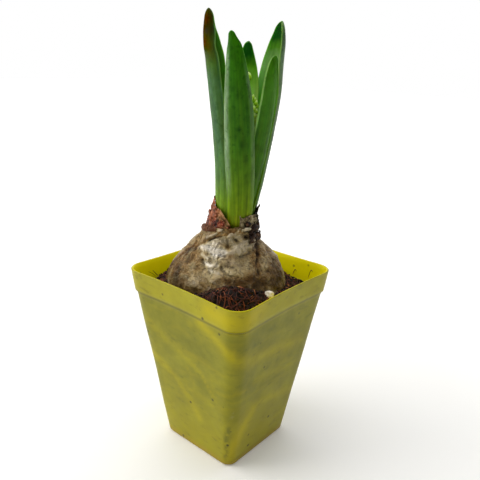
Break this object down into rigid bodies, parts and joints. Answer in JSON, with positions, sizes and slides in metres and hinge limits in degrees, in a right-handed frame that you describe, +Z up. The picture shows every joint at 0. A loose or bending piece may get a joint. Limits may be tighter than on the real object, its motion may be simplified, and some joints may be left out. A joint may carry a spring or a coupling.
{
  "type": "hyacinth flower with bulb",
  "caption": "Potted hyacinth in bud: upright channelled leaves round a tight green flower spike, on a papery bulb set in coir in a tapered square nursery pot.",
  "frame": {"origin": "middle of the pot's flat foot, which is the middle of the bounding box's bottom face", "axes": "+Z up along the leaves; X and Y square to the pot's flat sides; the picture looks at the corner between +X and -Y, with the broad front leaf towards it"},
  "size_m": [0.076, 0.076, 0.2187],
  "materials": {
    "pot_plastic": "satin",
    "coir": "matte",
    "perlite": "matte",
    "bulb_skin": "satin",
    "red_skin": "matte",
    "leaf": "satin",
    "bud": "satin"
  },
  "bodies": {
    "root": {"pot": "pot_plastic", "soil": "coir", "perlite_grain": "perlite", "bulb": "bulb_skin", "neck_skin_red": "red_skin", "leaf_front": "leaf", "leaf_left": "leaf", "leaf_back": "leaf", "leaf_right_outer": "leaf", "leaf_right_inner": "leaf", "flower_spike": "bud"}
  },
  "joints": []
}
